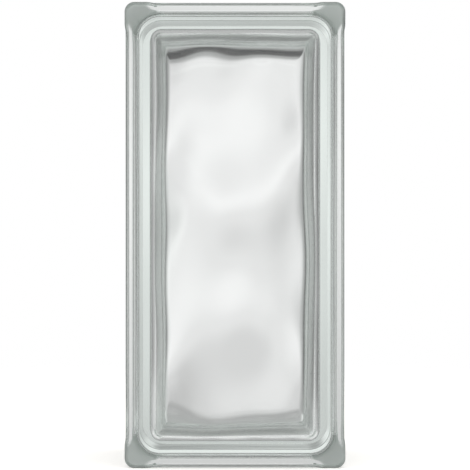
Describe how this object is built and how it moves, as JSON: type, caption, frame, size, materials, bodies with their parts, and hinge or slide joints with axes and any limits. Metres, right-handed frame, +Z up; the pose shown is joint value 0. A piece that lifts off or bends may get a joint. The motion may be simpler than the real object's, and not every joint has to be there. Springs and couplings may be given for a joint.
{
  "type": "glass block",
  "caption": "Hollow pressed-glass wall block, half width and upright, with a rolling wave relief inside its faces and a mortar groove all round.",
  "frame": {"origin": "middle of the base, on the plane that the lower corner pads stand on", "axes": "+Z up along the block's length, +X to the right across its width, +Y from the front face to the back face"},
  "size_m": [0.09, 0.08, 0.19],
  "materials": {
    "pressed_glass": "clear pressed soda-lime glass with a faint green tint, flat and glossy outside, waved inside"
  },
  "bodies": {
    "root": {"front_half": "pressed_glass", "back_half": "pressed_glass"}
  },
  "joints": []
}
